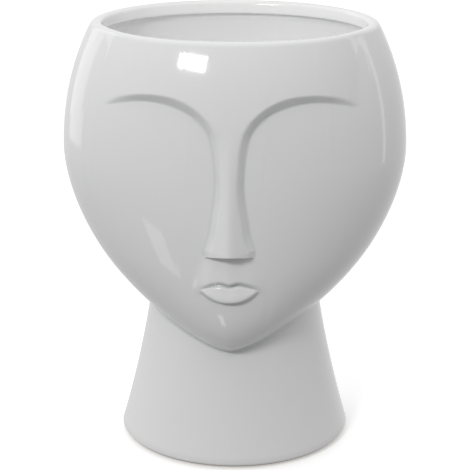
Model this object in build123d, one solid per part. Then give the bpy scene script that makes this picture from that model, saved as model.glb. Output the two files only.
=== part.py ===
from build123d import *
import math
import os

os.makedirs("parts", exist_ok=True)

# A glazed stoneware planter in the shape of a stylised head on a flared neck.
# All lengths are in millimetres, +Z is up and the face looks toward -Y.
# The origin lies on the resting surface, in the middle of the overall footprint.

# Overall sizes of the casting
POT_HEIGHT = 300.0
HEAD_HALF_WIDTH = 120.0
BACK_DEPTH = 92.0
FACE_DEPTH = 88.0
WALL = 7.0

# Side outline of the head, two arcs that meet at its widest level. The levels of the head
# are drops from the rim, so a taller pot has a longer neck under the same head
WIDEST_DROP = 88.0
SIDE_RISE = 154.0
JAW_DROP = 224.0
SIDE_UPPER_POWER = 2.0
SIDE_LOWER_POWER = 1.9

# Profile of the face without its features, two arcs that meet at cheek level
CHEEK_DROP = 150.0
FACE_RISE = 190.0
FACE_UPPER_POWER = 2.5
FACE_LOWER_POWER = 4.0

# Fullness of the face in level sections: 2 is an ellipse, less is more pointed
FOREHEAD_POWER = 2.0
CHIN_POWER = 1.8
CHIN_NARROWING = 55.0

# Neck, which is narrowest a little above the jaw's lowest level and ends inside the head, and foot
NECK_RADIUS = 62.0
NECK_CLIMB = 18.0
NECK_TOP_RADIUS = 59.0
NECK_TOP_CLIMB = 42.0
FOOT_RADIUS = 82.5
FOOT_ROUNDING = 6.5

# Rim and the straight collar inside it
RIM_LAND = 7.0
RIM_OUTER_ROUNDING = 3.0
RIM_INNER_ROUNDING = 2.4
COLLAR_DEPTH = 9.0
INSIDE_BROW_HEIGHT = 46.0

# Floor of the pot and the ring that it stands on
FLOOR_THICKNESS = 8.0
FLOOR_ROUNDING = 9.0
FOOT_RECESS = 4.0
FOOT_RING_WIDTH = 17.0

# Brow and nose, which stand proud of the cheeks
BROW_REACH = 84.5
BROW_RISE = 6.0
BROW_POWER = 4.0
SOCKET_OFFSET = 50.0
SOCKET_DROP = 93.0
SOCKET_RADIUS = 60.0
SLOPE_LEAST = 1.2
NOSE_ROOT_DROP = 55.0
NOSE_LENGTH = 81.3
NOSE_RISE = 8.0
NOSE_POWER = 1.4
NOSE_CROWN = 2.4
NOSE_CROWN_WIDTH = 12.0

# Directions from the centre of an eye socket, in degrees, and how far out the foot and
# the top of the slope under the brow and beside the nose lie, as shares of its radius
SOCKET_ANGLES = (56.0, 65.0, 75.0, 90.0, 105.0, 120.0, 135.0, 150.0, 165.0, 180.0, 195.0, 210.0, 225.0, 238.0)
SLOPE_FOOT_SHARES = (0.960, 0.925, 0.903, 0.885, 0.873, 0.868, 0.834, 0.752, 0.707, 0.692, 0.698, 0.735, 0.834, 0.96)
SLOPE_TOP_SHARES = (0.985, 0.995, 0.990, 0.988, 0.993, 0.974, 0.928, 0.838, 0.768, 0.748, 0.762, 0.812, 0.923, 1.02)

# Raised area between nose and mouth, with its half widths and the share of its rise at the nose
MUZZLE_RISE = 4.0
MUZZLE_TOP_SHARE = 0.5
MUZZLE_TOP_WIDTH = 17.0
MUZZLE_MOUTH_WIDTH = 21.0

# Lips under a bowed upper edge, overhanging the chin
MOUTH_DROP = 26.9
MOUTH_HALF_WIDTH = 20.0
BOW_RISE = 6.2
BOW_DIP = 4.6
BOW_OFFSET = 6.4
LIP_CLIMB = 8.2
LIP_HEIGHT = 21.0
LIP_RISE = 5.0
FEATURE_SINK = 2.0

# Heights, half widths and rises of the sections of the lips, as shares of the three sizes
LIP_HEIGHT_SHARES = (1.0, 0.75, 0.5, 0.3, 0.16, 0.0)
LIP_WIDTH_SHARES = (1.0, 1.0, 0.92, 0.78, 0.66, 0.5)
LIP_RISE_SHARES = (0.15, 0.5, 0.86, 1.0, 0.72, -0.2)

# Level sections: heights between them, and the columns of points in three sectors each side
COARSE_STEP = 8.0
FINE_STEP = 2.0
STEP_RAMP = 14.0
FINE_MARGIN = 4.0
BROW_BAND_HEIGHT = 30.0
LAST_STEP_SHARE = 1.3
CENTRE_TURN = 12.0
CHEEK_TURN = 48.0
SIDE_FADE = 18.0
CENTRE_COLUMNS = 24
CHEEK_COLUMNS = 11
SIDE_COLUMNS = 3
INSIDE_COLUMNS = 10
TURN_STEP = 0.1

# Drain hole and its rubber plug
HOLE_RADIUS = 8.0
PLUG_CLEARANCE = 0.05
PLUG_FLANGE_RADIUS = 14.0
PLUG_FLANGE_THICKNESS = 3.0
PLUG_STEM_TAPER = 0.6
PLUG_GRIP_RADIUS = 6.0
PLUG_GRIP_HEIGHT = 12.0
PLUG_WAIST_RADIUS = 3.6
PLUG_WAIST_FLARE = 1.0
PLUG_CHAMFER = 0.8

# Pads that keep the foot off the shelf
PAD_COUNT = 4
PAD_RADIUS = 5.0
PAD_THICKNESS = 1.5
PAD_CHAMFER = 0.4

# One overrun for every cut and every joint of solids
OVERRUN = 2.0

# Places worked out from the sizes above
FOOT_BOTTOM = PAD_THICKNESS
FLOOR_BOTTOM = FOOT_BOTTOM + FOOT_RECESS
FLOOR_TOP = FLOOR_BOTTOM + FLOOR_THICKNESS
COLLAR_BOTTOM = POT_HEIGHT - COLLAR_DEPTH
WIDEST_HEIGHT = POT_HEIGHT - WIDEST_DROP
CHEEK_HEIGHT = POT_HEIGHT - CHEEK_DROP
JAW_HEIGHT = POT_HEIGHT - JAW_DROP
NECK_HEIGHT = JAW_HEIGHT + NECK_CLIMB
NECK_TOP = JAW_HEIGHT + NECK_TOP_CLIMB
SOCKET_HEIGHT = POT_HEIGHT - SOCKET_DROP
NOSE_ROOT_HEIGHT = POT_HEIGHT - NOSE_ROOT_DROP
NOSE_BASE_HEIGHT = NOSE_ROOT_HEIGHT - NOSE_LENGTH
MOUTH_HEIGHT = NOSE_BASE_HEIGHT - MOUTH_DROP
LIP_TOP = MOUTH_HEIGHT + LIP_CLIMB


def smooth(share):
    """Ease from 0 to 1."""
    share = max(0.0, min(1.0, share))
    return share * share * (3 - 2 * share)


def arc(distance, reach, power):
    """Height share of a superelliptic arc at a distance along it."""
    return max(0.0, 1 - (abs(distance) / reach) ** power) ** (1 / power)


def curve_through(angle, angles, shares):
    """Value at an angle of the soft curve through a table of shares."""
    angle = max(angles[0], min(angles[-1], angle))
    last = len(angles) - 1
    right = next(k for k in range(1, last + 1) if angle <= angles[k])
    left = right - 1
    before, after = max(left - 1, 0), min(right + 1, last)
    span = angles[right] - angles[left]
    t = (angle - angles[left]) / span
    slope_left = (shares[right] - shares[before]) / (angles[right] - angles[before]) * span
    slope_right = (shares[after] - shares[left]) / (angles[after] - angles[left]) * span
    return (
        shares[left] * (1 + 2 * t) * (1 - t) ** 2
        + slope_left * t * (1 - t) ** 2
        + shares[right] * t * t * (3 - 2 * t)
        + slope_right * t * t * (t - 1)
    )


# The bare head


def side(z, inset=0.0):
    """Half width of the head at a height."""
    rise = z - WIDEST_HEIGHT
    if rise > 0:
        return (HEAD_HALF_WIDTH - inset) * arc(rise, SIDE_RISE - inset, SIDE_UPPER_POWER)
    drop = WIDEST_HEIGHT - JAW_HEIGHT - inset
    return (HEAD_HALF_WIDTH - inset) * arc(rise, drop, SIDE_LOWER_POWER)


def back(z, inset=0.0):
    """Depth of the head behind the neck axis at a height."""
    return (BACK_DEPTH - inset) * side(z, inset) / (HEAD_HALF_WIDTH - inset)


def front(z, inset=0.0):
    """Depth of the face in front of the neck axis at a height."""
    rise = z - CHEEK_HEIGHT
    if rise > 0:
        return (FACE_DEPTH - inset) * arc(rise, FACE_RISE - inset, FACE_UPPER_POWER)
    drop = CHEEK_HEIGHT - JAW_HEIGHT - inset
    return (FACE_DEPTH - inset) * arc(rise, drop, FACE_LOWER_POWER)


def face_power(z):
    """Fullness of the front half, which turns pointed toward the chin."""
    narrowing = smooth((CHEEK_HEIGHT - z) / CHIN_NARROWING)
    return FOREHEAD_POWER + (CHIN_POWER - FOREHEAD_POWER) * narrowing


# The neck axis stands behind the origin by half of what the nose reaches further than the back
NOSE_REACH = front(NOSE_BASE_HEIGHT) + BROW_RISE + NOSE_RISE
AXIS_Y = (NOSE_REACH - BACK_DEPTH) / 2
NECK_AXIS = Axis((0, AXIS_Y, 0), (0, 0, 1))
NECK_PLANE = Plane(origin=(0, AXIS_Y, 0), x_dir=(1, 0, 0), z_dir=(0, -1, 0))


def nose(x, z):
    """Rise of the nose above the brow plane, growing down to its base, with a crowned ridge."""
    down = max(0.0, NOSE_ROOT_HEIGHT - z) / NOSE_LENGTH
    crown = NOSE_CROWN * (min(abs(x), NOSE_CROWN_WIDTH) / NOSE_CROWN_WIDTH) ** 2
    return NOSE_RISE * down ** NOSE_POWER - crown * min(1.0, down * 2)


def forehead(x, z):
    """Rise of the brow plane, which dies out at the tips of the brows."""
    return BROW_RISE * max(0.0, 1 - (abs(x) / BROW_REACH) ** BROW_POWER)


def brow_and_nose(x, z):
    """Rise of forehead and nose, with the slope that drops from them to the cheeks."""
    across, up = abs(x) - SOCKET_OFFSET, z - SOCKET_HEIGHT
    if across > 0 and up < 0:
        return 0.0
    rise = forehead(x, z) + (nose(x, z) if across < 0 else 0.0)
    turn = math.degrees(math.atan2(up, across)) % 360
    foot = SOCKET_RADIUS * curve_through(turn, SOCKET_ANGLES, SLOPE_FOOT_SHARES)
    top = SOCKET_RADIUS * curve_through(turn, SOCKET_ANGLES, SLOPE_TOP_SHARES)
    return rise * smooth((math.hypot(across, up) - foot) / max(top - foot, SLOPE_LEAST))


# Level sections of the head


def face_point(turn, z, half_width, depth, relief):
    """Point of the face at a height and at a turn away from straight ahead, in degrees.

    The relief has died out at the sides, where the face meets the back.
    """
    across, out = math.sin(math.radians(turn)), math.cos(math.radians(turn))
    power = face_power(z)
    reach = ((abs(across) / half_width) ** power + (abs(out) / depth) ** power) ** (-1 / power)
    fade = smooth((90 - abs(turn)) / SIDE_FADE)
    rise = relief(reach * across, z) * fade if relief else 0.0
    return Vector(reach * across, AXIS_Y - reach * out - rise, z)


def even_point(turn):
    """Point of the widest section, whose spacing sets how fast every section is run through."""
    return face_point(turn, WIDEST_HEIGHT, HEAD_HALF_WIDTH, FACE_DEPTH, None)


def face_tangent(turn, *form):
    """Way moved along a section for each length moved along the widest one."""
    before, after = turn - TURN_STEP, turn + TURN_STEP
    move = face_point(after, *form) - face_point(before, *form)
    return move / (even_point(after) - even_point(before)).length


def sector(start, end, columns, *form):
    """Smooth edge of the level section between two turns."""
    turns = [start + (end - start) * k / columns for k in range(columns + 1)]
    lengths = [0.0]
    for before, after in zip(turns, turns[1:]):
        lengths.append(lengths[-1] + (even_point(after) - even_point(before)).length)
    return Edge.make_spline(
        [face_point(turn, *form) for turn in turns],
        tangents=[face_tangent(start, *form) * lengths[-1], face_tangent(end, *form) * lengths[-1]],
        parameters=[length / lengths[-1] for length in lengths],
        scale=False,
    )


def section(z, sectors, half_width, depth, rear_depth, relief=None):
    """Closed level section: the face in sectors, and half an ellipse at the back."""
    face = [sector(*bounds, z, half_width, depth, relief) for bounds in sectors]
    rear = Edge.make_ellipse(half_width, rear_depth, Plane((0, AXIS_Y, z)), start_angle=0, end_angle=180)
    return Wire(face + [rear])


def outer_section(z, relief=None, land=0.0):
    """Section of the outside, or of the outline a land's width inside it."""
    return section(z, OUTER_SECTORS, side(z) - land, front(z) - land, back(z) - land, relief)


def inner_section(z):
    """Section of the inside, one wall in, which follows the forehead's rise up to the collar."""
    echo = BROW_RISE * smooth(1 - (COLLAR_BOTTOM - z) / INSIDE_BROW_HEIGHT)
    return section(z, INNER_SECTORS, side(z, WALL), front(z, WALL) + echo, back(z, WALL))


OUTER_SECTORS = (
    (-90, -CHEEK_TURN, SIDE_COLUMNS),
    (-CHEEK_TURN, -CENTRE_TURN, CHEEK_COLUMNS),
    (-CENTRE_TURN, CENTRE_TURN, CENTRE_COLUMNS),
    (CENTRE_TURN, CHEEK_TURN, CHEEK_COLUMNS),
    (CHEEK_TURN, 90, SIDE_COLUMNS),
)
INNER_SECTORS = ((-90, 90, INSIDE_COLUMNS),)


def heights(start, end, fine_bands):
    """Heights of the sections, closer together where the shape changes fast."""
    levels = [start]
    while True:
        z = levels[-1]
        gap = min(max(low - z, z - high, 0.0) for low, high in fine_bands)
        step = FINE_STEP + (COARSE_STEP - FINE_STEP) * smooth(gap / STEP_RAMP)
        if z + step * LAST_STEP_SHARE > end:
            return levels + [end]
        levels.append(z + step)


JAW_BAND = (JAW_HEIGHT, JAW_HEIGHT + FINE_MARGIN)
NOSE_BAND = (NOSE_BASE_HEIGHT - FINE_MARGIN, NOSE_BASE_HEIGHT + FINE_MARGIN)
BROW_TOP = SOCKET_HEIGHT + SOCKET_RADIUS + FINE_MARGIN
BROW_BAND = (BROW_TOP - BROW_BAND_HEIGHT, BROW_TOP)


def lower_head():
    """Jaw, chin and cheeks up to the level of the nose's underside."""
    levels = heights(JAW_HEIGHT + FINE_MARGIN, NOSE_BASE_HEIGHT, [JAW_BAND])
    return Solid.make_loft([outer_section(z) for z in levels])


def upper_head():
    """Cheeks, nose, brows and forehead, from the nose's flat underside up to the rim."""
    levels = heights(NOSE_BASE_HEIGHT, POT_HEIGHT, [NOSE_BAND, BROW_BAND])
    bounds = [NOSE_BASE_HEIGHT, *BROW_BAND, POT_HEIGHT]
    joints = [min(range(len(levels)), key=lambda k: abs(levels[k] - bound)) for bound in bounds]
    head = None
    for first, last in zip(joints, joints[1:]):
        band = Solid.make_loft([outer_section(z, brow_and_nose) for z in levels[first:last + 1]])
        head = head + band if head else band
    return head


def swelling(levels, half_widths, rises):
    """Low form on the face, lofted through arcs that dip under the skin at both ends."""
    sections = []
    for z, half_width, rise in zip(levels, half_widths, rises):
        end = front(z) * arc(half_width, side(z), face_power(z)) - FEATURE_SINK
        left, right = (-half_width, AXIS_Y - end, z), (half_width, AXIS_Y - end, z)
        crest = (0, AXIS_Y - front(z) - rise, z)
        sections.append(Wire([Edge.make_three_point_arc(left, crest, right), Edge.make_line(right, left)]))
    return Solid.make_loft(sections)


def below_bow():
    """Block under the bowed upper edge of the lips, which parts them from the muzzle."""
    low = LIP_TOP - LIP_HEIGHT - OVERRUN
    reach = MUZZLE_MOUTH_WIDTH + OVERRUN
    corner, peak = MOUTH_HEIGHT, MOUTH_HEIGHT + BOW_RISE
    bow = Spline(
        (-reach, corner),
        (-BOW_OFFSET, peak),
        (0, MOUTH_HEIGHT + BOW_DIP),
        (BOW_OFFSET, peak),
        (reach, corner),
    )
    outline = bow + Polyline((reach, corner), (reach, low), (-reach, low), (-reach, corner))
    return extrude(NECK_PLANE * make_face(outline), NOSE_REACH + OVERRUN)


def mouth():
    """Muzzle above the bow and lips below it."""
    muzzle_levels = [MOUTH_HEIGHT - OVERRUN, (MOUTH_HEIGHT + NOSE_BASE_HEIGHT) / 2, NOSE_BASE_HEIGHT]
    muzzle_widths = [MUZZLE_MOUTH_WIDTH, (MUZZLE_MOUTH_WIDTH + MUZZLE_TOP_WIDTH) / 2, MUZZLE_TOP_WIDTH]
    muzzle_shares = [1, (1 + MUZZLE_TOP_SHARE) / 2, MUZZLE_TOP_SHARE]
    muzzle = swelling(muzzle_levels, muzzle_widths, [MUZZLE_RISE * share for share in muzzle_shares])
    lips = swelling(
        [LIP_TOP - LIP_HEIGHT * (1 - share) for share in LIP_HEIGHT_SHARES],
        [MOUTH_HALF_WIDTH * share for share in LIP_WIDTH_SHARES],
        [LIP_RISE * share for share in LIP_RISE_SHARES],
    )
    block = below_bow()
    return muzzle - block, lips & block


def neck_profile(foot_radius, bottom, inset):
    """Half outline of the flared neck, from its axis out, up the flare and back to the axis."""
    flare = Spline(
        (foot_radius, bottom),
        (NECK_RADIUS - inset, NECK_HEIGHT),
        (NECK_TOP_RADIUS - inset, NECK_TOP),
    )
    rest = Polyline(
        (NECK_TOP_RADIUS - inset, NECK_TOP),
        (0, NECK_TOP),
        (0, bottom),
        (foot_radius, bottom),
    )
    return make_face(flare + rest)


def turned_neck(profile, rounding):
    """Neck turned about its axis, with its lowest corner rounded."""
    corner = profile.vertices().sort_by(Axis.X)[-1]
    return revolve(NECK_PLANE * fillet(corner, rounding), NECK_AXIS)


def outside():
    """The whole outside of the casting, with its rim rounded outside."""
    neck = turned_neck(neck_profile(FOOT_RADIUS, FOOT_BOTTOM, 0.0), FOOT_ROUNDING)
    head = lower_head() + upper_head()
    rim = (head.faces().sort_by(Axis.Z)[-1]).edges()
    head = head.fillet(RIM_OUTER_ROUNDING, rim)
    body = head + neck
    muzzle, lips = mouth()
    return body + muzzle + lips


def hollow():
    """Inside of the casting: the bowl of the head, the neck over the floor, and the collar."""
    chin = JAW_HEIGHT + WALL + FINE_MARGIN
    levels = heights(chin, COLLAR_BOTTOM, [(chin, chin)])
    bowl = Solid.make_loft([inner_section(z) for z in levels])
    share = (FLOOR_TOP - FOOT_BOTTOM) / (NECK_HEIGHT - FOOT_BOTTOM)
    floor_radius = FOOT_RADIUS - (FOOT_RADIUS - NECK_RADIUS) * share - WALL
    neck = turned_neck(neck_profile(floor_radius, FLOOR_TOP, WALL), FLOOR_ROUNDING)
    return bowl + neck


def collar():
    """Straight opening inside the rim, narrower than the bowl under it."""
    outline = make_face(outer_section(POT_HEIGHT, forehead, RIM_LAND))
    return extrude(Pos(0, 0, OVERRUN) * outline, COLLAR_DEPTH + 2 * OVERRUN, dir=(0, 0, -1))


def foot_recess():
    """Shallow recess that leaves a ring to stand on."""
    depth = FOOT_RECESS + OVERRUN
    return Pos(0, AXIS_Y, FLOOR_BOTTOM - depth / 2) * Cylinder(FOOT_RADIUS - FOOT_RING_WIDTH, depth)


def drain_hole():
    """Round hole through the middle of the floor."""
    depth = FLOOR_THICKNESS + 2 * OVERRUN
    return Pos(0, AXIS_Y, (FLOOR_BOTTOM + FLOOR_TOP) / 2) * Cylinder(HOLE_RADIUS, depth)


def head_shell():
    """The one casting: outside less hollow, collar, recess and drain hole."""
    shell = outside() - hollow() - collar() - foot_recess() - drain_hole()
    top = shell.faces().sort_by(Axis.Z)[-1]
    return shell.fillet(RIM_INNER_ROUNDING, top.inner_wires()[0].edges())


def drain_plug():
    """Rubber stopper: tapered stem in the hole, flange on the floor, knob to pull it by."""
    stem_radius = HOLE_RADIUS - PLUG_CLEARANCE
    flange_top = FLOOR_TOP + PLUG_FLANGE_THICKNESS
    grip_top = flange_top + PLUG_GRIP_HEIGHT
    grip_middle = grip_top - PLUG_GRIP_RADIUS
    waist_end = PLUG_WAIST_RADIUS + PLUG_WAIST_FLARE
    waist = ThreePointArc(
        (waist_end, flange_top),
        (PLUG_WAIST_RADIUS, (flange_top + grip_middle) / 2),
        (waist_end, grip_middle),
    )
    profile = waist + Polyline(
        (waist_end, grip_middle),
        (PLUG_GRIP_RADIUS, grip_middle),
        (PLUG_GRIP_RADIUS, grip_top),
        (0, grip_top),
        (0, FLOOR_BOTTOM),
        (stem_radius - PLUG_STEM_TAPER, FLOOR_BOTTOM),
        (stem_radius, FLOOR_TOP),
        (PLUG_FLANGE_RADIUS, FLOOR_TOP),
        (PLUG_FLANGE_RADIUS, flange_top),
        (waist_end, flange_top),
    )
    face = make_face(profile)
    flange_edge = face.vertices().sort_by(Axis.X)[-2:].sort_by(Axis.Y)[-1:]
    knob_edges = [v for v in face.vertices() if v.Y > flange_top and v.X > waist_end]
    return revolve(NECK_PLANE * chamfer(flange_edge + knob_edges, PLUG_CHAMFER), NECK_AXIS)


def foot_pad(number):
    """One of the soft pads under the foot ring, a round button chamfered underneath."""
    land_inside, land_outside = FOOT_RADIUS - FOOT_RING_WIDTH, FOOT_RADIUS - FOOT_ROUNDING
    turn = 360 * (number + 0.5) / PAD_COUNT
    place = Pos(0, AXIS_Y, 0) * Rot(0, 0, turn) * Pos((land_inside + land_outside) / 2, 0, PAD_THICKNESS / 2)
    button = Cylinder(PAD_RADIUS, PAD_THICKNESS)
    button = chamfer(button.edges().group_by(Axis.Z)[0], PAD_CHAMFER)
    return place * button


if __name__ == "__main__":
    export_step(head_shell(), "parts/head_shell.step")
    export_step(drain_plug(), "parts/drain_plug.step")
    for number in range(PAD_COUNT):
        export_step(foot_pad(number), f"parts/foot_pad_{number + 1}.step")
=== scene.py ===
import math

import bmesh
import bpy
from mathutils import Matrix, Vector


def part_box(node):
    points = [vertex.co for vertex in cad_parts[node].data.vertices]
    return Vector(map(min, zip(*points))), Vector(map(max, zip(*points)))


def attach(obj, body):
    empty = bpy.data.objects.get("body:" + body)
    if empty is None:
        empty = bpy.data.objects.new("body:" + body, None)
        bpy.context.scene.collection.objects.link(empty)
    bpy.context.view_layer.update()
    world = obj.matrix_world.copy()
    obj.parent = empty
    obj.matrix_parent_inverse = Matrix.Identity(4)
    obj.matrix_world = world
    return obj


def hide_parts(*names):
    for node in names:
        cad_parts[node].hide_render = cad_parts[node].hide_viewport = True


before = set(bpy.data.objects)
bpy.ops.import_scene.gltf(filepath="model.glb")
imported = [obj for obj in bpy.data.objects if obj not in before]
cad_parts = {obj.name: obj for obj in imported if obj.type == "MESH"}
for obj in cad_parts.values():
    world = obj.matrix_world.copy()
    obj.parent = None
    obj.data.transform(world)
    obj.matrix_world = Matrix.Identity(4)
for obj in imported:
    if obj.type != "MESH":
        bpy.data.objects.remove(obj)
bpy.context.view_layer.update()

bl_info = {
    "name": "Head Planter",
    "version": (1, 0, 0),
    "blender": (4, 5, 0),
    "location": "View3D > Sidebar > Planter",
    "description": "Glazed head planter with a drain plug and foot pads, on a studio floor",
    "category": "Object",
}

# Places and sizes read from the frame
SHELL_LOW, SHELL_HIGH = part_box("head_shell")
PLUG_LOW, PLUG_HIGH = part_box("drain_plug")
PAD_NODES = sorted(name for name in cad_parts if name.startswith("foot_pad"))

# Forms are written in millimetres of a planter 300 high and scaled to the frame
NOMINAL_HEIGHT = 300.0
MM = SHELL_HIGH.z / NOMINAL_HEIGHT
AXIS_Y = (PLUG_LOW.y + PLUG_HIGH.y) / 2 / MM
HALF_WIDTH = (SHELL_HIGH.x - SHELL_LOW.x) / 2 / MM
BACK_DEPTH = SHELL_HIGH.y / MM - AXIS_Y
FOOT_BOTTOM = SHELL_LOW.z / MM

# Outline of the bare head
WIDEST_HEIGHT = 212.0
SIDE_RISE = 154.0
JAW_HEIGHT = 76.0
SIDE_UPPER_POWER = 2.0
SIDE_LOWER_POWER = 1.72
FACE_DEPTH = 88.0
CHEEK_HEIGHT = 150.0
FACE_RISE = 190.0
FACE_UPPER_POWER = 2.5
FACE_LOWER_POWER = 4.0
FOREHEAD_POWER = 2.0
CHIN_POWER = 1.8
CHIN_NARROWING = 55.0
BACK_POWER = 2.0
VANISHING = 1e-6

# Neck, foot and floor; the plug's stem ends level with the floor's underside
NECK_RADIUS = 61.4
NECK_HEIGHT = 94.0
NECK_TOP_RADIUS = 59.0
NECK_TOP = 118.0
NECK_SAG = 1.4
FOOT_RADIUS = 82.5
FOOT_ROUNDING = 2.8
FOOT_RING_WIDTH = 17.0
FOOT_RECESS = 4.0
FLOOR_THICKNESS = 8.0
FLOOR_BOTTOM = FOOT_BOTTOM + FOOT_RECESS
FLOOR_TOP = PLUG_LOW.z / MM + FLOOR_THICKNESS
FLOOR_ROUNDING = 9.0
HOLE_RADIUS = 8.0
HOLE_ROUNDING = 0.8
CREASE_SOFTNESS = 3.5

# Rim
RIM_LAND = 7.0
RIM_OUTER_ROUNDING = 4.2
RIM_SLOPE = 28.0
RIM_INNER_ROUNDING = 2.4
COLLAR_BOTTOM = 291.0
COLLAR_ROUNDING = 1.6
WALL = 7.0

# Brow, nose and eye sockets
BROW_REACH = 84.5
BROW_POWER = 4.0
SLOPE_ROUNDING = 0.4
SOCKET_OFFSET = 50.0
SOCKET_HEIGHT = 207.0
SOCKET_RADIUS = 60.0
SLOPE_LEAST = 1.2
NOSE_ROOT_HEIGHT = 245.0
NOSE_BASE_HEIGHT = 163.7
NOSE_POWER = 1.4
NOSE_CROWN = 0.82
NOSE_CROWN_GROWTH = 2.0
RIDGE_ROUNDING = 3.8
NOSE_EDGE = 2.4
NOSE_BASE_DROOP = 3.8
NOSE_BASE_POWER = 1.5
NOSE_BASE_HALF_WIDTH = 17.0
SOCKET_ANGLES = (
    56.0, 65.0, 75.0, 90.0, 105.0, 120.0, 135.0, 150.0, 165.0, 180.0, 195.0, 210.0, 225.0, 238.0,
)
SLOPE_FOOT_SHARES = (
    0.960, 0.925, 0.903, 0.885, 0.873, 0.868, 0.832, 0.745, 0.692, 0.675, 0.683, 0.727, 0.834, 0.960,
)
SLOPE_TOP_SHARES = (
    0.985, 0.995, 0.990, 0.988, 0.993, 0.974, 0.928, 0.838, 0.768, 0.748, 0.762, 0.812, 0.923, 1.020,
)

# Muzzle and lips
MUZZLE_TOP_SHARE = 0.6
MUZZLE_TOP_WIDTH = 15.0
MUZZLE_MOUTH_WIDTH = 20.0
MUZZLE_SOFTNESS = 13.0
MUZZLE_CROWN = 0.2
MUZZLE_LEAD = 0.8
MUZZLE_STEP = 5.0
MUZZLE_CORNER_STEP = 6.0
MOUTH_HEIGHT = 136.8
MOUTH_HALF_WIDTH = 20.0
BOW_RISE = 6.2
BOW_DIP = 1.8
BOW_OFFSET = 6.5
LIP_DROP = 8.4
LIP_POWER = 2.4
LIP_GROOVE = 2.6
LIP_EDGE_SHARE = 0.22
LIP_EDGE_RISE_SHARE = 0.6
LIP_UNDERCUT = 3.8

# Heights up to which each spacing of the outer rings holds
RING_SPACINGS = (
    (80.0, 4.0), (106.0, 1.3), (124.0, 2.0), (146.0, 0.5), (156.0, 1.1),
    (165.5, 0.4), (252.0, 2.0), (272.0, 0.6), (297.0, 2.8),
)
INNER_SPACING = 6.0
FINER_INSIDE_TOP = NECK_TOP + 1.0
MERGE_DISTANCE = 0.001
TURN_STEPS = 300
FACE_CROWDING = 0.55
CORNER_STEPS = 6
HOLLOW_GAIN = 2.0
HOLLOW_ROUNDS = 2


class PlanterForm(bpy.types.PropertyGroup):
    """Heights of the features above the bare head, in millimetres"""
    brow_rise: bpy.props.FloatProperty(
        name="Brow rise", default=6.8,
        description="Height of the brow plane above the cheeks",
    )
    nose_rise: bpy.props.FloatProperty(
        name="Nose rise", default=7.2,
        description="Height of the nose's base above the brow plane",
    )
    muzzle_rise: bpy.props.FloatProperty(
        name="Muzzle rise", default=5.6,
        description="Height of the area above the mouth",
    )
    lip_rise: bpy.props.FloatProperty(
        name="Lip rise", default=5.0,
        description="Height of the lips where they are fullest",
    )
    inside_echo: bpy.props.FloatProperty(
        name="Inside echo", default=46.0,
        description="Distance below the rim over which the brow's rise dies out inside the casting",
    )


class PlanterFinish(bpy.types.PropertyGroup):
    """Colours and gloss of glaze, bare stoneware and rubber"""
    glaze: bpy.props.FloatVectorProperty(
        name="Glaze", default=(0.825, 0.825, 0.83), size=3, subtype="COLOR",
        description="Colour of the glaze where it lies evenly",
    )
    # Inside colour is painted light: the glaze inside is made lighter to stand in for the light that fills
    # the bowl
    inside_painted_light: bpy.props.FloatVectorProperty(
        name="Inside painted light", default=(0.94, 0.94, 0.94), size=3, subtype="COLOR",
        description="Colour of the glaze inside, painted lighter as light that fills the bowl",
    )
    # Crease colour: partly glaze that pools in creases, partly painted shade where the creases fall dark
    pooled_glaze_and_shade: bpy.props.FloatVectorProperty(
        name="Pooled glaze and painted shade", default=(0.62, 0.645, 0.65), size=3, subtype="COLOR",
        description="Colour of the glaze where it has run together in creases, darkened further as painted shade",
    )
    thin: bpy.props.FloatVectorProperty(
        name="Thin glaze", default=(0.85, 0.845, 0.83), size=3, subtype="COLOR",
        description="Colour of the glaze where it breaks over an edge",
    )
    stoneware: bpy.props.FloatVectorProperty(
        name="Stoneware", default=(0.62, 0.55, 0.46), size=3, subtype="COLOR",
        description="Colour of the bare clay under the foot",
    )
    plug: bpy.props.FloatVectorProperty(
        name="Plug rubber", default=(0.045, 0.045, 0.05), size=3, subtype="COLOR",
        description="Colour of the drain plug",
    )
    pad: bpy.props.FloatVectorProperty(
        name="Pad rubber", default=(0.36, 0.36, 0.34), size=3, subtype="COLOR",
        description="Colour of the foot pads",
    )
    roughness: bpy.props.FloatProperty(
        name="Glaze roughness", default=0.07, min=0.0, max=1.0, subtype="FACTOR",
        description="Roughness of the clean glaze",
    )


class PlanterStudio(bpy.types.PropertyGroup):
    """Floor and light"""
    floor: bpy.props.FloatVectorProperty(
        name="Floor", default=(0.9, 0.9, 0.9), size=3, subtype="COLOR",
        description="Colour of the studio floor",
    )
    floor_glow: bpy.props.FloatProperty(
        name="Floor glow", default=0.31,
        description="Light of its own that keeps the sweep white",
    )
    key_power: bpy.props.FloatProperty(
        name="Key light", default=9.0, unit="POWER",
        description="Power of the softbox at the upper left",
    )
    side_power: bpy.props.FloatProperty(
        name="Side panel", default=0.75, unit="POWER",
        description="Power of the tall panel at the left",
    )
    right_power: bpy.props.FloatProperty(
        name="Right panel", default=0.16, unit="POWER",
        description="Power of the tall panel at the right",
    )
    bowl_power: bpy.props.FloatProperty(
        name="Bowl light", default=0.026, unit="POWER",
        description="Power of the soft light down in the bowl",
    )
    glint_power: bpy.props.FloatProperty(
        name="Table glints", default=0.6, unit="POWER",
        description="Power that the images of lights in the polished table take their shares of",
    )
    sky: bpy.props.FloatProperty(
        name="Surround", default=0.58,
        description="Middle brightness of the white surround",
    )
    sky_tilt: bpy.props.FloatVectorProperty(
        name="Surround tilt", default=(0.0, 0.27, 0.26), size=3,
        description="How much brighter the surround grows to the right, back and top",
    )


# Curves that the forms are worked out from


def smooth(share):
    """Ease from 0 to 1."""
    share = max(0.0, min(1.0, share))
    return share * share * (3 - 2 * share)


def arc(distance, reach, power):
    """Height share of a superelliptic arc at a distance along it."""
    return max(0.0, 1 - (abs(distance) / reach) ** power) ** (1 / power)


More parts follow.
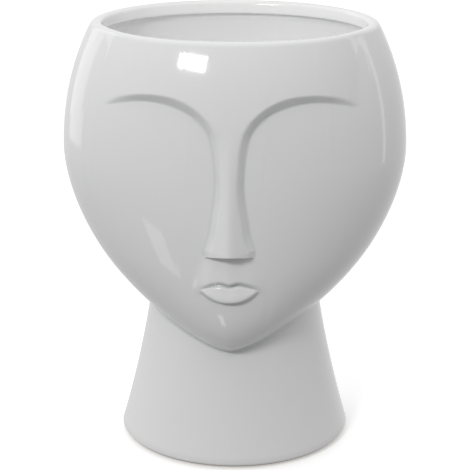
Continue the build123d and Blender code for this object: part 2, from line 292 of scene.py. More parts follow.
def curve_through(angle, angles, shares):
    """Value at an angle of the soft curve through a table of shares."""
    angle = max(angles[0], min(angles[-1], angle))
    last = len(angles) - 1
    right = next(k for k in range(1, last + 1) if angle <= angles[k])
    left = right - 1
    before, after = max(left - 1, 0), min(right + 1, last)
    span = angles[right] - angles[left]
    t = (angle - angles[left]) / span
    slope_left = (shares[right] - shares[before]) / (angles[right] - angles[before]) * span
    slope_right = (shares[after] - shares[left]) / (angles[after] - angles[left]) * span
    return (
        shares[left] * (1 + 2 * t) * (1 - t) ** 2
        + slope_left * t * (1 - t) ** 2
        + shares[right] * t * t * (3 - 2 * t)
        + slope_right * t * t * (t - 1)
    )


def side(z):
    """Half width of the bare head at a height."""
    rise = z - WIDEST_HEIGHT
    if rise > 0:
        return HALF_WIDTH * arc(rise, SIDE_RISE, SIDE_UPPER_POWER)
    return HALF_WIDTH * arc(rise, WIDEST_HEIGHT - JAW_HEIGHT, SIDE_LOWER_POWER)


def front(z):
    """Depth of the bare face in front of the neck axis at a height."""
    rise = z - CHEEK_HEIGHT
    if rise > 0:
        return FACE_DEPTH * arc(rise, FACE_RISE, FACE_UPPER_POWER)
    return FACE_DEPTH * arc(rise, CHEEK_HEIGHT - JAW_HEIGHT, FACE_LOWER_POWER)


def neck(z):
    """Radius of the neck at a height, up to where it is lost in the head."""
    if z > NECK_TOP:
        return 0.0
    if z > NECK_HEIGHT:
        return NECK_RADIUS + (NECK_TOP_RADIUS - NECK_RADIUS) * (z - NECK_HEIGHT) / (NECK_TOP - NECK_HEIGHT)
    share = (z - FOOT_BOTTOM) / (NECK_HEIGHT - FOOT_BOTTOM)
    return FOOT_RADIUS + (NECK_RADIUS - FOOT_RADIUS) * share - NECK_SAG * 4 * share * (1 - share)


def head(turn, z):
    """Reach of the bare head from the neck axis at a turn away from straight ahead."""
    half_width = side(z)
    across, out = abs(math.sin(turn)), math.cos(turn)
    if half_width < VANISHING or (out > 0 and front(z) < VANISHING):
        return 0.0
    if out > 0:
        depth = front(z)
        narrowing = smooth((CHEEK_HEIGHT - z) / CHIN_NARROWING)
        power = FOREHEAD_POWER + (CHIN_POWER - FOREHEAD_POWER) * narrowing
    else:
        depth = BACK_DEPTH * half_width / HALF_WIDTH
        power = BACK_POWER
    return ((across / half_width) ** power + (abs(out) / depth) ** power) ** (-1 / power)


def outline(turn, z):
    """Reach of head and neck together, with a soft crease where they meet."""
    a, b = head(turn, z), neck(z)
    near = max(CREASE_SOFTNESS - abs(a - b), 0.0)
    return max(a, b) + near * near / (4 * CREASE_SOFTNESS)


# The features, each as a rise above the bare face


def nose_base(x):
    """Height of the nose's base, a little lower toward its corners."""
    share = min(1.0, abs(x) / NOSE_BASE_HALF_WIDTH)
    return NOSE_BASE_HEIGHT - NOSE_BASE_DROOP * share ** NOSE_BASE_POWER


def ridge(x):
    """Fall of a roof with a rounded ridge, to either side of the middle."""
    return math.hypot(x, RIDGE_ROUNDING) - RIDGE_ROUNDING


def brow_and_nose(x, z, form):
    """Forehead and nose, with the slope that drops from them to the cheeks."""
    level = max(z, NOSE_BASE_HEIGHT)
    across, up = abs(x) - SOCKET_OFFSET, level - SOCKET_HEIGHT
    if across > 0 and up < 0:
        return 0.0
    rise = form.brow_rise * max(0.0, 1 - (abs(x) / BROW_REACH) ** BROW_POWER)
    if across < 0:
        down = max(0.0, NOSE_ROOT_HEIGHT - level) / (NOSE_ROOT_HEIGHT - NOSE_BASE_HEIGHT)
        crown = NOSE_CROWN * ridge(x) * min(1.0, down * NOSE_CROWN_GROWTH)
        rise += form.nose_rise * down ** NOSE_POWER - crown
    turn = math.degrees(math.atan2(up, across)) % 360
    foot = SOCKET_RADIUS * curve_through(turn, SOCKET_ANGLES, SLOPE_FOOT_SHARES)
    top = SOCKET_RADIUS * curve_through(turn, SOCKET_ANGLES, SLOPE_TOP_SHARES)
    share = max(0.0, min(1.0, (math.hypot(across, up) - foot) / max(top - foot, SLOPE_LEAST)))
    slope = share + (smooth(share) - share) * SLOPE_ROUNDING
    below = max(0.0, min(1.0, (nose_base(x) - z) / NOSE_EDGE))
    underside = math.sqrt(1 - below * below)
    return rise * slope * underside


def lip_top(x):
    """Height of the bowed upper edge of the lips."""
    share = min(1.0, abs(x) / MOUTH_HALF_WIDTH)
    dip = BOW_DIP * (1 - smooth(abs(x) / BOW_OFFSET))
    return MOUTH_HEIGHT + BOW_RISE * (1 - share ** 2) - dip


def lips(x, z, form):
    """Lips, fullest low down, with a soft dark band along their top edge."""
    share = min(1.0, abs(x) / MOUTH_HALF_WIDTH)
    top, bottom = lip_top(x) - LIP_GROOVE, MOUTH_HEIGHT - LIP_DROP * (1 - share ** LIP_POWER)
    down = (top - z) / max(top - bottom, LIP_GROOVE)
    edge = LIP_EDGE_RISE_SHARE * smooth(down / LIP_EDGE_SHARE)
    undercut = 1 - smooth((bottom - z) / LIP_UNDERCUT)
    swell = (edge + (1 - LIP_EDGE_RISE_SHARE) * smooth(down)) * undercut
    return form.lip_rise * math.sqrt(1 - share ** 2) * swell


def muzzle(x, z, form):
    """Raised area that spreads from the nose to the mouth and stops at the lips."""
    down = (NOSE_BASE_HEIGHT - z) / (NOSE_BASE_HEIGHT - MOUTH_HEIGHT)
    fullness = MUZZLE_TOP_SHARE + (1 - MUZZLE_TOP_SHARE) * smooth(down)
    rise = form.muzzle_rise * fullness - MUZZLE_CROWN * ridge(x)
    width = MUZZLE_TOP_WIDTH + (MUZZLE_MOUTH_WIDTH - MUZZLE_TOP_WIDTH) * smooth(down)
    sides = 1 - smooth((abs(x) - width) / MUZZLE_SOFTNESS + 0.5)
    upper = smooth((nose_base(x) - z) / NOSE_EDGE)
    beyond = smooth((abs(x) - MOUTH_HALF_WIDTH) / MUZZLE_SOFTNESS + 0.5)
    lower = 1 - smooth((lip_top(x) + MUZZLE_LEAD - z) / (MUZZLE_STEP + MUZZLE_CORNER_STEP * beyond))
    return rise * sides * upper * lower


def features(x, z, form):
    """All features of the face together."""
    return brow_and_nose(x, z, form) + muzzle(x, z, form) + lips(x, z, form)


# The shell: one closed outline is spun about the neck axis, then every ring takes its own shape


def corner(middle_r, middle_z, radius, start, end):
    """Points on a quarter round, from one direction to another, in degrees."""
    angles = [math.radians(start + (end - start) * k / CORNER_STEPS) for k in range(CORNER_STEPS + 1)]
    return [(middle_r + radius * math.cos(a), middle_z + radius * math.sin(a)) for a in angles]


def levels(start, end, spacing):
    """Evenly spaced heights between two ends, both left out."""
    count = max(1, round(abs(end - start) / spacing))
    return [start + (end - start) * k / count for k in range(1, count)]


def shell_outline():
    """Closed outline at the planter's side: recess, foot, outside, rim, inside, floor and hole."""
    sideways = math.pi / 2
    ring_inside = FOOT_RADIUS - FOOT_RING_WIDTH
    points = corner(HOLE_RADIUS + HOLE_ROUNDING, FLOOR_BOTTOM + HOLE_ROUNDING, HOLE_ROUNDING, 180, 270)
    points += [(radius, FLOOR_BOTTOM) for radius in levels(HOLE_RADIUS, ring_inside, INNER_SPACING * 2)]
    points += [(ring_inside, FLOOR_BOTTOM), (ring_inside, FOOT_BOTTOM + HOLE_ROUNDING)]
    points += [(ring_inside + HOLE_ROUNDING, FOOT_BOTTOM)]
    middle_z = FOOT_BOTTOM + FOOT_ROUNDING
    points += corner(neck(middle_z) - FOOT_ROUNDING, middle_z, FOOT_ROUNDING, -90, 0)
    z = middle_z
    for end, spacing in RING_SPACINGS:
        heights = levels(z, end, spacing) + [end]
        points += [(outline(sideways, height), height) for height in heights]
        z = end
    rim_r = outline(sideways, NOMINAL_HEIGHT)
    lean = math.radians(RIM_SLOPE)
    middle_r = rim_r - RIM_OUTER_ROUNDING * (1 - math.sin(lean)) / math.cos(lean)
    points += corner(middle_r, NOMINAL_HEIGHT - RIM_OUTER_ROUNDING, RIM_OUTER_ROUNDING, RIM_SLOPE, 90)
    inner = RIM_INNER_ROUNDING
    points += corner(rim_r - RIM_LAND + inner, NOMINAL_HEIGHT - inner, inner, 90, 180)
    bowl_r = outline(sideways, COLLAR_BOTTOM - COLLAR_ROUNDING) - WALL
    collar_r, collar_z = rim_r - RIM_LAND + COLLAR_ROUNDING, COLLAR_BOTTOM + COLLAR_ROUNDING
    points += corner(collar_r, collar_z, COLLAR_ROUNDING, 180, 270)
    points += [(bowl_r - COLLAR_ROUNDING, COLLAR_BOTTOM), (bowl_r, COLLAR_BOTTOM - COLLAR_ROUNDING)]
    floor_z = FLOOR_TOP + FLOOR_ROUNDING
    inside = levels(COLLAR_BOTTOM, NECK_TOP, INNER_SPACING)
    inside += levels(FINER_INSIDE_TOP, JAW_HEIGHT, INNER_SPACING / 2)
    inside += levels(JAW_HEIGHT, floor_z, INNER_SPACING)
    points += [(outline(sideways, height) - WALL, height) for height in inside]
    floor_r = neck(floor_z) - WALL - FLOOR_ROUNDING
    points += corner(floor_r, floor_z, FLOOR_ROUNDING, 0, -90)
    points += [(radius, FLOOR_TOP) for radius in levels(floor_r, HOLE_RADIUS, INNER_SPACING * 2)]
    points += corner(HOLE_RADIUS + HOLE_ROUNDING, FLOOR_TOP - HOLE_ROUNDING, HOLE_ROUNDING, 90, 180)
    return points


def spin_outline(bm, points, steps):
    """Closed or open outline of radii and heights, spun once round the neck axis."""
    verts = [bm.verts.new((radius * MM, AXIS_Y * MM, height * MM)) for radius, height in points]
    edges = [bm.edges.new(pair) for pair in zip(verts, verts[1:])]
    if points[0][0] > 0:
        edges.append(bm.edges.new((verts[-1], verts[0])))
    bmesh.ops.spin(
        bm, geom=verts + edges, cent=(0, AXIS_Y * MM, 0), axis=(0, 0, 1),
        angle=2 * math.pi, steps=steps, use_merge=True,
    )
    bmesh.ops.remove_doubles(bm, verts=bm.verts, dist=MERGE_DISTANCE * MM)


def shape_ring_point(vert, form, inside):
    """Moves a point of the spun shell out to the head's own outline and features, and marks the inside."""
    x, y, z = vert.co.x / MM, vert.co.y / MM - AXIS_Y, vert.co.z / MM
    spun = math.atan2(x, -y)
    turn = spun - FACE_CROWDING * math.sin(spun)
    inset = outline(math.pi / 2, z) - math.hypot(x, y)
    reach = outline(turn, z) - inset
    # This inside mark is where the glaze gets its painted light
    vert[inside] = smooth((inset - WALL / 2) / WALL) if z > FLOOR_TOP - HOLE_ROUNDING else 0.0
    x, y = reach * math.sin(turn), reach * math.cos(turn)
    if z < JAW_HEIGHT or abs(turn) > math.pi / 2:
        rise = 0.0
    elif z > COLLAR_BOTTOM - COLLAR_ROUNDING or inset < WALL / 2:
        rise = features(x, z, form)
    else:
        rise = form.brow_rise * smooth(1 - (COLLAR_BOTTOM - z) / form.inside_echo) * math.cos(turn)
    vert.co = (x * MM, (AXIS_Y - y - rise) * MM, z * MM)


def mark_hollows(bm):
    """Stores how hollow each point lies, from -1 on a sharp edge to 1 in a deep crease."""
    layer = bm.verts.layers.float.new("hollow")
    bm.normal_update()
    for vert in bm.verts:
        bends = []
        for edge in vert.link_edges:
            way = edge.other_vert(vert).co - vert.co
            bends.append(way.dot(vert.normal) / max(way.length_squared, VANISHING ** 2))
        vert[layer] = max(-1.0, min(1.0, sum(bends) / len(bends) * HOLLOW_GAIN * MM))
    for _ in range(HOLLOW_ROUNDS):
        means = [sum(e.other_vert(v)[layer] for e in v.link_edges) / len(v.link_edges) for v in bm.verts]
        for vert, mean in zip(bm.verts, means):
            vert[layer] = (vert[layer] + mean) / 2


def finish_mesh(name, bm, material, body, slot, *nodes):
    """Turns a bmesh into a smooth object that rides on a body and stands for CAD nodes."""
    bmesh.ops.recalc_face_normals(bm, faces=bm.faces)
    mesh = bpy.data.meshes.new(name)
    bm.to_mesh(mesh)
    bm.free()
    mesh.polygons.foreach_set("use_smooth", [True] * len(mesh.polygons))
    mesh.materials.append(material)
    piece = bpy.data.objects.new(name, mesh)
    bpy.context.scene.collection.objects.link(piece)
    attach(piece, body)
    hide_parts(*nodes)


class PLANTER_OT_shell(bpy.types.Operator):
    """Build the glazed casting: head, face, neck, foot and rim"""
    bl_idname = "planter.shell"
    bl_label = "Head shell"

    def execute(self, context):
        form = context.scene.planter_form
        bm = bmesh.new()
        spin_outline(bm, shell_outline(), TURN_STEPS)
        inside = bm.verts.layers.float.new("inside")
        for vert in bm.verts:
            shape_ring_point(vert, form, inside)
        bmesh.ops.recalc_face_normals(bm, faces=bm.faces)
        mark_hollows(bm)
        finish_mesh("glazed_head", bm, glaze_material(), "pot", "glaze", "head_shell")
        return {"FINISHED"}


# The drain plug and the pads

PLUG_STEM_RADIUS = 7.93
PLUG_STEM_TIP_RADIUS = 7.35
PLUG_STEM_CHAMFER = 0.3
PLUG_TIP_HOLLOW_RADIUS = 4.6
PLUG_TIP_HOLLOW_DEPTH = 1.2
PLUG_FLANGE_RADIUS = 14.0
PLUG_FLANGE_THICKNESS = 3.0
PLUG_ROUNDING = 0.9
PLUG_RING_INSET = 2.0
PLUG_RING_HALF_WIDTH = 0.6
PLUG_RING_DEPTH = 0.5
PLUG_WAIST_RADIUS = 3.6
PLUG_WAIST_FLARE = 1.6
PLUG_WAIST_FLARE_END = 0.4
PLUG_WAIST_FLARE_HEIGHT = 0.9
PLUG_WAIST_WIDENING = 0.5
PLUG_GRIP_RADIUS = 6.0
PLUG_GRIP_LOWER_ROUNDING = 1.2
PLUG_GRIP_UPPER_ROUNDING = 1.6
PLUG_DIMPLE_RADIUS = 2.2
PLUG_DIMPLE_FLOOR_RADIUS = 1.4
PLUG_DIMPLE_DEPTH = 0.5
PLUG_DIMPLE_MIDDLE_DEPTH = 0.6
PLUG_STEPS = 96
PLUG_ROUGHNESS = 0.52


def plug_outline():
    """Outline of the plug from the tip of its stem up to the top of its knob."""
    low, high = PLUG_LOW.z / MM, PLUG_HIGH.z / MM
    soft, hollow_z = PLUG_ROUNDING, low + PLUG_TIP_HOLLOW_DEPTH
    points = [(0, hollow_z), (PLUG_TIP_HOLLOW_RADIUS, hollow_z)]
    points += corner(PLUG_STEM_TIP_RADIUS - soft, low + soft, soft, -90, 0)
    stem, chamfer = PLUG_STEM_RADIUS, PLUG_STEM_CHAMFER
    points += [(stem, FLOOR_TOP - chamfer), (stem + chamfer, FLOOR_TOP)]
    edge, flange_top = PLUG_FLANGE_RADIUS - soft, FLOOR_TOP + PLUG_FLANGE_THICKNESS
    points += [(edge, FLOOR_TOP)] + corner(edge, flange_top - soft, soft, 0, 90)
    half = PLUG_RING_HALF_WIDTH
    ring_r = edge - PLUG_RING_INSET - half
    points += [(ring_r + half, flange_top), (ring_r, flange_top - PLUG_RING_DEPTH)]
    points += [(ring_r - half, flange_top)]
    waist, grip, grip_z = PLUG_WAIST_RADIUS, PLUG_GRIP_RADIUS, high - PLUG_GRIP_RADIUS
    points += [(waist + PLUG_WAIST_FLARE, flange_top)]
    points += [(waist + PLUG_WAIST_FLARE_END, flange_top + PLUG_WAIST_FLARE_HEIGHT)]
    points += [(waist, (flange_top + grip_z) / 2), (waist + PLUG_WAIST_WIDENING, grip_z)]
    lower, upper = PLUG_GRIP_LOWER_ROUNDING, PLUG_GRIP_UPPER_ROUNDING
    points += corner(grip - lower, grip_z + lower, lower, -90, 0)
    points += corner(grip - upper, high - upper, upper, 0, 90)
    points += [(PLUG_DIMPLE_RADIUS, high), (PLUG_DIMPLE_FLOOR_RADIUS, high - PLUG_DIMPLE_DEPTH)]
    return points + [(0, high - PLUG_DIMPLE_MIDDLE_DEPTH)]


class PLANTER_OT_plug(bpy.types.Operator):
    """Build the rubber plug that closes the drain hole"""
    bl_idname = "planter.plug"
    bl_label = "Drain plug"

    def execute(self, context):
        finish = context.scene.planter_finish
        bm = bmesh.new()
        spin_outline(bm, plug_outline(), PLUG_STEPS)
        material = rubber_material("plug_rubber", finish.plug, PLUG_ROUGHNESS)
        finish_mesh("rubber_plug", bm, material, "plug", "plug_rubber", "drain_plug")
        return {"FINISHED"}


PAD_STEPS = 48
PAD_EDGE_SHARE = 0.25
PAD_EDGE_SEGMENTS = 3
PAD_ROUGHNESS = 0.4


class PLANTER_OT_pads(bpy.types.Operator):
    """Build the soft round pads under the foot ring"""
    bl_idname = "planter.pads"
    bl_label = "Foot pads"

    def execute(self, context):
        finish = context.scene.planter_finish
        material = rubber_material("pad_rubber", finish.pad, PAD_ROUGHNESS)
        for number, node in enumerate(PAD_NODES, 1):
            low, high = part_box(node)
            middle, size = (low + high) / 2, high - low
            bm = bmesh.new()
            bmesh.ops.create_circle(bm, cap_ends=True, segments=PAD_STEPS, radius=size.x / 2)
            bmesh.ops.translate(bm, verts=bm.verts, vec=(middle.x, middle.y, low.z))
            raised = bmesh.ops.extrude_face_region(bm, geom=bm.faces[:])
            top = [item for item in raised["geom"] if isinstance(item, bmesh.types.BMVert)]
            bmesh.ops.translate(bm, verts=top, vec=(0, 0, size.z))
            caps = [face for face in bm.faces if len(face.verts) > 4]
            rims = list({edge for face in caps for edge in face.edges})
            bmesh.ops.bevel(
                bm, geom=rims, offset=size.z * PAD_EDGE_SHARE, segments=PAD_EDGE_SEGMENTS,
                profile=0.5, affect="EDGES", material=-1,
            )
            finish_mesh(f"pad_{number}", bm, material, "pot", "pad_rubber", node)
        return {"FINISHED"}


# Materials

GRAIN_DETAIL = 3.0
CLOUD_SCALE = 14.0
CLOUD_DETAIL = 2.0

GLAZE_GRAIN_SCALE = 260.0
GLAZE_PIT_SCALE = 60.0
GLAZE_PIT_SIZE = 0.03
# Hollow range over which creases turn to the pooled colour, partly painted shade
POOL_SHADE_FROM, POOL_SHADE_TO = 0.02, 0.35
THIN_FROM, THIN_TO = -0.08, -0.5
# Inside share at which the painted light of the bowl is full
INSIDE_PAINTED_LIGHT_FULL = 0.5
CLOUD_SHADE = 0.97
BARE_TOP = FOOT_BOTTOM + 1.6
BARE_BOTTOM = FOOT_BOTTOM + 1.0
CLAY_SHADE = 0.8
CLAY_ROUGHNESS = 0.8
DULLER = 1.6
WAVE_SCALE = 22.0
WAVE_DETAIL = 1.0
WAVE_HEIGHT = 0.5
RUN_STRETCH = (75.0, 75.0, 5.0)
RUN_DETAIL = 1.0
RUN_FROM, RUN_TO = 0.6, 0.8
RUN_HEIGHT = 0.9
GRAIN_HEIGHT = 0.02
PIT_HEIGHT = -0.05
GLAZE_BUMP = 0.25
GLAZE_BUMP_DEPTH = 0.0012
GLAZE_IOR = 1.52
COAT_WEIGHT = 0.4
COAT_ROUGHNESS = 0.03

RUBBER_GRAIN_SCALE = 900.0
RUBBER_PIT_SCALE = 300.0
RUBBER_PIT_SIZE = 0.12
DUST_GAIN = 1.5
DUST_LIFT = 0.02
RUBBER_DULLING = 0.2
RUBBER_BUMP = 0.3
RUBBER_BUMP_DEPTH = 0.0002


def new_material(name):
    """Empty material, with its node tree, its shader and its coordinates."""
    material = bpy.data.materials.new(name)
    material.use_nodes = True
    tree = material.node_tree
    shader = tree.nodes["Principled BSDF"]
    place = tree.nodes.new("ShaderNodeTexCoord").outputs["Object"]
    return material, tree, shader, place


def add(tree, kind, inputs=None, **settings):
    """New node with its settings, and its inputs set or linked."""
    node = tree.nodes.new(kind)
    for key, value in settings.items():
        setattr(node, key, value)
    for key, value in (inputs or {}).items():
        if isinstance(value, bpy.types.NodeSocket):
            tree.links.new(value, node.inputs[key])
        else:
            node.inputs[key].default_value = value
    return node


def noise(tree, place, scale, detail):
    """Soft noise at a scale."""
    inputs = {"Vector": place, "Scale": scale, "Detail": detail}
    return add(tree, "ShaderNodeTexNoise", inputs).outputs["Fac"]


def ramp(tree, value, low, high):
    """Share of the way from a low to a high value, held between 0 and 1."""
    inputs = {"Value": value, "From Min": low, "From Max": high}
    return add(tree, "ShaderNodeMapRange", inputs).outputs["Result"]


def spread(tree, share, low, high):
    """Value from low to high by a share."""
    inputs = {"Value": share, "To Min": low, "To Max": high}
    return add(tree, "ShaderNodeMapRange", inputs).outputs["Result"]


def laid_on(tree, share, height, below):
    """Height below with a share of a further height laid on it."""
    inputs = {0: share, 1: height, 2: below}
    return add(tree, "ShaderNodeMath", inputs, operation="MULTIPLY_ADD").outputs[0]


def blend(tree, share, first, second):
    """Colour mixed by a share."""
    node = add(tree, "ShaderNodeMix", data_type="RGBA")
    for socket, value in ((node.inputs[0], share), (node.inputs[6], first), (node.inputs[7], second)):
        if isinstance(value, bpy.types.NodeSocket):
            tree.links.new(value, socket)
        else:
            socket.default_value = (*value, 1.0)
    return node.outputs[2]


def shaded(colour, factor):
    """Colour made darker by a factor."""
    return [channel * factor for channel in colour]


def grain_group():
    """Fine surface grain with scattered pits and broad clouds, shared by clay, glaze and rubber."""
    name = "surface_grain"
    if name in bpy.data.node_groups:
        return bpy.data.node_groups[name]
    group = bpy.data.node_groups.new(name, "ShaderNodeTree")
    group.interface.new_socket("Place", in_out="INPUT", socket_type="NodeSocketVector")
    for label in ("Grain Scale", "Pit Scale", "Pit Size"):
        group.interface.new_socket(label, in_out="INPUT", socket_type="NodeSocketFloat")
    for label in ("Grain", "Pits", "Cloud"):
        group.interface.new_socket(label, in_out="OUTPUT", socket_type="NodeSocketFloat")
    source = group.nodes.new("NodeGroupInput").outputs
    result = group.nodes.new("NodeGroupOutput").inputs
    place = source["Place"]
    cell = add(group, "ShaderNodeTexVoronoi", {"Vector": place, "Scale": source["Pit Scale"]})
    pits = add(group, "ShaderNodeMapRange", {
        "Value": cell.outputs["Distance"], "From Max": source["Pit Size"], "To Min": 1.0, "To Max": 0.0,
    })
    group.links.new(noise(group, place, source["Grain Scale"], GRAIN_DETAIL), result["Grain"])
    group.links.new(pits.outputs["Result"], result["Pits"])
    group.links.new(noise(group, place, CLOUD_SCALE, CLOUD_DETAIL), result["Cloud"])
    return group


def grain_node(tree, place, grain_scale, pit_scale, pit_size):
    """Outputs of the shared grain, placed in a material with its own values."""
    inputs = {"Place": place, "Grain Scale": grain_scale, "Pit Scale": pit_scale, "Pit Size": pit_size}
    return add(tree, "ShaderNodeGroup", inputs, node_tree=grain_group()).outputs


def add_bump(tree, shader, height, strength, depth):
    """Bump that a height gives to the shader's normal."""
    bump = add(tree, "ShaderNodeBump", {"Height": height, "Strength": strength, "Distance": depth})
    tree.links.new(bump.outputs["Normal"], shader.inputs["Normal"])


def glaze_relief(tree, place, grain):
    """Heights of the glaze: slow waves, runs that hang down it, fine grain and pits."""
    wave = noise(tree, place, WAVE_SCALE, WAVE_DETAIL)
    height = add(tree, "ShaderNodeMath", {0: wave, 1: WAVE_HEIGHT}, operation="MULTIPLY").outputs[0]
    stretched = add(tree, "ShaderNodeMapping", {"Vector": place, "Scale": RUN_STRETCH}).outputs["Vector"]
    runs = ramp(tree, noise(tree, stretched, 1.0, RUN_DETAIL), RUN_FROM, RUN_TO)
    height = laid_on(tree, runs, RUN_HEIGHT, height)
    height = laid_on(tree, grain["Grain"], GRAIN_HEIGHT, height)
    return laid_on(tree, grain["Pits"], PIT_HEIGHT, height)


def glaze_material():
    """Glossy white glaze: greyer in creases, partly pooled glaze and partly painted shade; warmer over
    edges; lighter inside as painted light; bare clay under the foot.
    """
    finish = bpy.context.scene.planter_finish
    material, tree, shader, place = new_material("white_glaze")
    grain = grain_node(tree, place, GLAZE_GRAIN_SCALE, GLAZE_PIT_SCALE, GLAZE_PIT_SIZE)
    hollow = add(tree, "ShaderNodeAttribute", attribute_name="hollow").outputs["Fac"]
    inside = add(tree, "ShaderNodeAttribute", attribute_name="inside").outputs["Fac"]
    height = add(tree, "ShaderNodeSeparateXYZ", {"Vector": place}).outputs["Z"]
    bare = ramp(tree, height, BARE_TOP * MM, BARE_BOTTOM * MM)
    colour = blend(tree, grain["Cloud"], finish.glaze, shaded(finish.glaze, CLOUD_SHADE))
    # Painted light: the inside of the bowl is coloured lighter
    colour = blend(tree, ramp(tree, inside, 0.0, INSIDE_PAINTED_LIGHT_FULL), colour, finish.inside_painted_light)
    # Creases painted darker: pooled glaze together with painted shade
    colour = blend(tree, ramp(tree, hollow, POOL_SHADE_FROM, POOL_SHADE_TO), colour, finish.pooled_glaze_and_shade)
    colour = blend(tree, ramp(tree, hollow, THIN_FROM, THIN_TO), colour, finish.thin)
    clay = blend(tree, grain["Grain"], finish.stoneware, shaded(finish.stoneware, CLAY_SHADE))
    tree.links.new(blend(tree, bare, colour, clay), shader.inputs["Base Color"])
    gloss = spread(tree, grain["Cloud"], finish.roughness, finish.roughness * DULLER)
    rough = add(tree, "ShaderNodeMix", {0: bare, 2: gloss, 3: CLAY_ROUGHNESS}, data_type="FLOAT")
    tree.links.new(rough.outputs[0], shader.inputs["Roughness"])
    add_bump(tree, shader, glaze_relief(tree, place, grain), GLAZE_BUMP, GLAZE_BUMP_DEPTH)
    shader.inputs["IOR"].default_value = GLAZE_IOR
    shader.inputs["Coat Weight"].default_value = COAT_WEIGHT
    shader.inputs["Coat Roughness"].default_value = COAT_ROUGHNESS
    return material


def rubber_material(name, colour, roughness):
    """Matt moulded rubber with fine grain and a little dust."""
    material, tree, shader, place = new_material(name)
    grain = grain_node(tree, place, RUBBER_GRAIN_SCALE, RUBBER_PIT_SCALE, RUBBER_PIT_SIZE)
    dust = [min(1.0, channel * DUST_GAIN + DUST_LIFT) for channel in colour]
    dusty = blend(tree, grain["Cloud"], colour, dust)
    tree.links.new(blend(tree, grain["Grain"], dusty, colour), shader.inputs["Base Color"])
    rough = spread(tree, grain["Grain"], roughness, roughness + RUBBER_DULLING)
    tree.links.new(rough, shader.inputs["Roughness"])
    add_bump(tree, shader, grain["Grain"], RUBBER_BUMP, RUBBER_BUMP_DEPTH)
    return material


# Stage: floor, surround, lights and camera

# Place of the camera in millimetres and degrees, and how far it sees in metres
CAMERA_DISTANCE = 1250.0
CAMERA_HEIGHT = 563.0
CAMERA_TURN = 2.4
CAMERA_REACH = 100.0
LOOK_HEIGHT = 145.0
SENSOR = 36.0

# Focal length and middle of the picture, as shares of its width
FOCAL_SHARE = 1848.0 / 470.0
PRINCIPAL_SHIFT = 0.3 / 470.0

# Half the side of the floor, in metres, and its finish
FLOOR_HALF = 9.0
FLOOR_ROUGHNESS = 0.7
FLOOR_SHADE = 0.99
FLOOR_CLOUD_SCALE = 3.0
FLOOR_CLOUD_DETAIL = 2.0
WHITE = (1.0, 1.0, 1.0, 1.0)

# Places and targets in millimetres, widths and heights in metres
KEY_PLACE = (-577.0, -1255.0, 1054.0)
KEY_TARGET = (-23.0, -67.0, 288.0)
KEY_SIZE = (0.42, 0.2)
PANEL_PLACE = (-760.0, 360.0, 420.0)
PANEL_TARGET = (-100.0, 0.0, 220.0)
PANEL_SIZE = (0.4, 0.8)
RIGHT_PLACE = (900.0, 120.0, 380.0)
RIGHT_TARGET = (60.0, 0.0, 200.0)
RIGHT_SIZE = (0.07, 0.8)
BOWL_PLACE = (0.0, 5.0, 112.0)
BOWL_TARGET = (0.0, 5.0, 300.0)
BOWL_SIZE = (0.1, 0.08)

# Images of lights in the polished table, each with its place, target, size and share of the power
GLINTS = (
    ((-380.0, -1180.0, -900.0), (-15.0, -70.0, 105.0), (0.18, 0.34), 0.6),
    ((-1080.0, -950.0, -500.0), (-50.0, -75.0, 165.0), (0.3, 0.25), 0.4),
)


def aim(item, place, target):
    """Places an object in millimetres and turns it to look at a target."""
    item.location = Vector(place) * MM
    item.rotation_euler = (Vector(target) * MM - item.location).to_track_quat("-Z", "Y").to_euler()
    bpy.context.scene.collection.objects.link(item)


def softbox(name, place, target, size, power):
    """Rectangular area light that the camera itself doesn't see."""
    light = bpy.data.lights.new(name, "AREA")
    light.shape = "RECTANGLE"
    light.size, light.size_y = size
    light.energy = power
    box = bpy.data.objects.new(name, light)
    box.visible_camera = False
    aim(box, place, target)
    return box


def build_floor(studio):
    """White floor that neither lights the planter nor mirrors in its glaze."""
    bm = bmesh.new()
    bmesh.ops.create_grid(bm, x_segments=1, y_segments=1, size=FLOOR_HALF)
    mesh = bpy.data.meshes.new("floor")
    bm.to_mesh(mesh)
    bm.free()
    material, tree, shader, place = new_material("studio_floor")
    cloud = noise(tree, place, FLOOR_CLOUD_SCALE, FLOOR_CLOUD_DETAIL)
    tone = blend(tree, cloud, studio.floor, shaded(studio.floor, FLOOR_SHADE))
    tree.links.new(tone, shader.inputs["Base Color"])
    shader.inputs["Roughness"].default_value = FLOOR_ROUGHNESS
    shader.inputs["Emission Color"].default_value = WHITE
    shader.inputs["Emission Strength"].default_value = studio.floor_glow
    mesh.materials.append(material)
    floor = bpy.data.objects.new("floor", mesh)
    bpy.context.scene.collection.objects.link(floor)
    floor.visible_diffuse = False
    floor.visible_glossy = False


def build_surround(studio):
    """White surround that grows brighter toward the back and the top."""
    world = bpy.data.worlds.new("surround")
    bpy.context.scene.world = world
    world.use_nodes = True
    tree = world.node_tree
    way = add(tree, "ShaderNodeTexCoord").outputs["Generated"]
    tilt = add(tree, "ShaderNodeVectorMath", {0: way, 1: studio.sky_tilt}, operation="DOT_PRODUCT")
    level = add(tree, "ShaderNodeMath", {0: tilt.outputs["Value"], 1: studio.sky}, operation="ADD")
    background = tree.nodes["Background"].inputs
    tree.links.new(level.outputs[0], background["Strength"])
    background["Color"].default_value = WHITE


def build_lights(studio):
    """Key light, panels at both sides, soft light down in the bowl, and glints from the table."""
    softbox("key", KEY_PLACE, KEY_TARGET, KEY_SIZE, studio.key_power)
    softbox("side_panel", PANEL_PLACE, PANEL_TARGET, PANEL_SIZE, studio.side_power)
    softbox("right_panel", RIGHT_PLACE, RIGHT_TARGET, RIGHT_SIZE, studio.right_power)
    softbox("bowl_light", BOWL_PLACE, BOWL_TARGET, BOWL_SIZE, studio.bowl_power)
    for number, (place, target, size, share) in enumerate(GLINTS, 1):
        glint = softbox(f"table_glint_{number}", place, target, size, studio.glint_power * share)
        glint.visible_diffuse = False


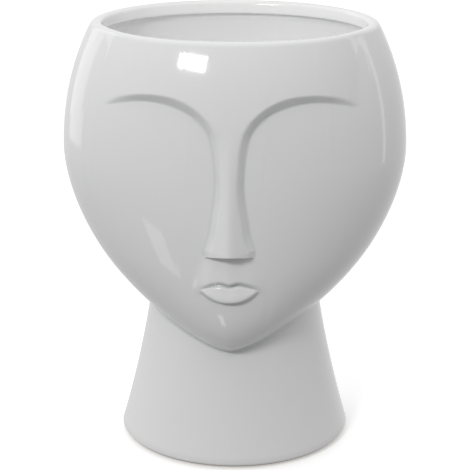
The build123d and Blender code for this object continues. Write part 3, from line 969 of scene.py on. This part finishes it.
def build_camera():
    """Camera above the planter and a little to the right, looking down at it."""
    camera = bpy.data.cameras.new("camera")
    camera.sensor_width = SENSOR
    camera.lens = SENSOR * FOCAL_SHARE
    camera.shift_x = PRINCIPAL_SHIFT
    camera.clip_end = CAMERA_REACH
    turn = math.radians(CAMERA_TURN)
    across, back = CAMERA_DISTANCE * math.sin(turn), CAMERA_DISTANCE * math.cos(turn)
    viewer = bpy.data.objects.new("camera", camera)
    aim(viewer, (across, AXIS_Y - back, CAMERA_HEIGHT), (0, AXIS_Y, LOOK_HEIGHT))
    bpy.context.scene.camera = viewer


class PLANTER_OT_stage(bpy.types.Operator):
    """Build the studio floor, the white surround, the softboxes and the camera"""
    bl_idname = "planter.stage"
    bl_label = "Studio"

    def execute(self, context):
        studio = context.scene.planter_studio
        build_floor(studio)
        build_surround(studio)
        build_lights(studio)
        build_camera()
        context.scene.view_settings.view_transform = "Standard"
        return {"FINISHED"}


class PLANTER_PT_panel(bpy.types.Panel):
    """Lists the planter's pieces and settings"""
    bl_label = "Head Planter"
    bl_space_type = "VIEW_3D"
    bl_region_type = "UI"
    bl_category = "Planter"

    def draw(self, context):
        scene = context.scene
        for group in (scene.planter_form, scene.planter_finish, scene.planter_studio):
            box = self.layout.box()
            for name in group.__annotations__:
                box.prop(group, name)
        for operator in OPERATORS:
            self.layout.operator(operator.bl_idname)


GROUPS = {"planter_form": PlanterForm, "planter_finish": PlanterFinish, "planter_studio": PlanterStudio}
OPERATORS = (PLANTER_OT_shell, PLANTER_OT_plug, PLANTER_OT_pads, PLANTER_OT_stage)


def register():
    for cls in (*GROUPS.values(), *OPERATORS, PLANTER_PT_panel):
        bpy.utils.register_class(cls)
    for name, group in GROUPS.items():
        setattr(bpy.types.Scene, name, bpy.props.PointerProperty(type=group))


def unregister():
    for name in GROUPS:
        delattr(bpy.types.Scene, name)
    for cls in reversed((*GROUPS.values(), *OPERATORS, PLANTER_PT_panel)):
        bpy.utils.unregister_class(cls)


def main():
    register()
    bpy.ops.planter.shell()
    bpy.ops.planter.plug()
    bpy.ops.planter.pads()
    bpy.ops.planter.stage()


if __name__ == "__main__":
    main()
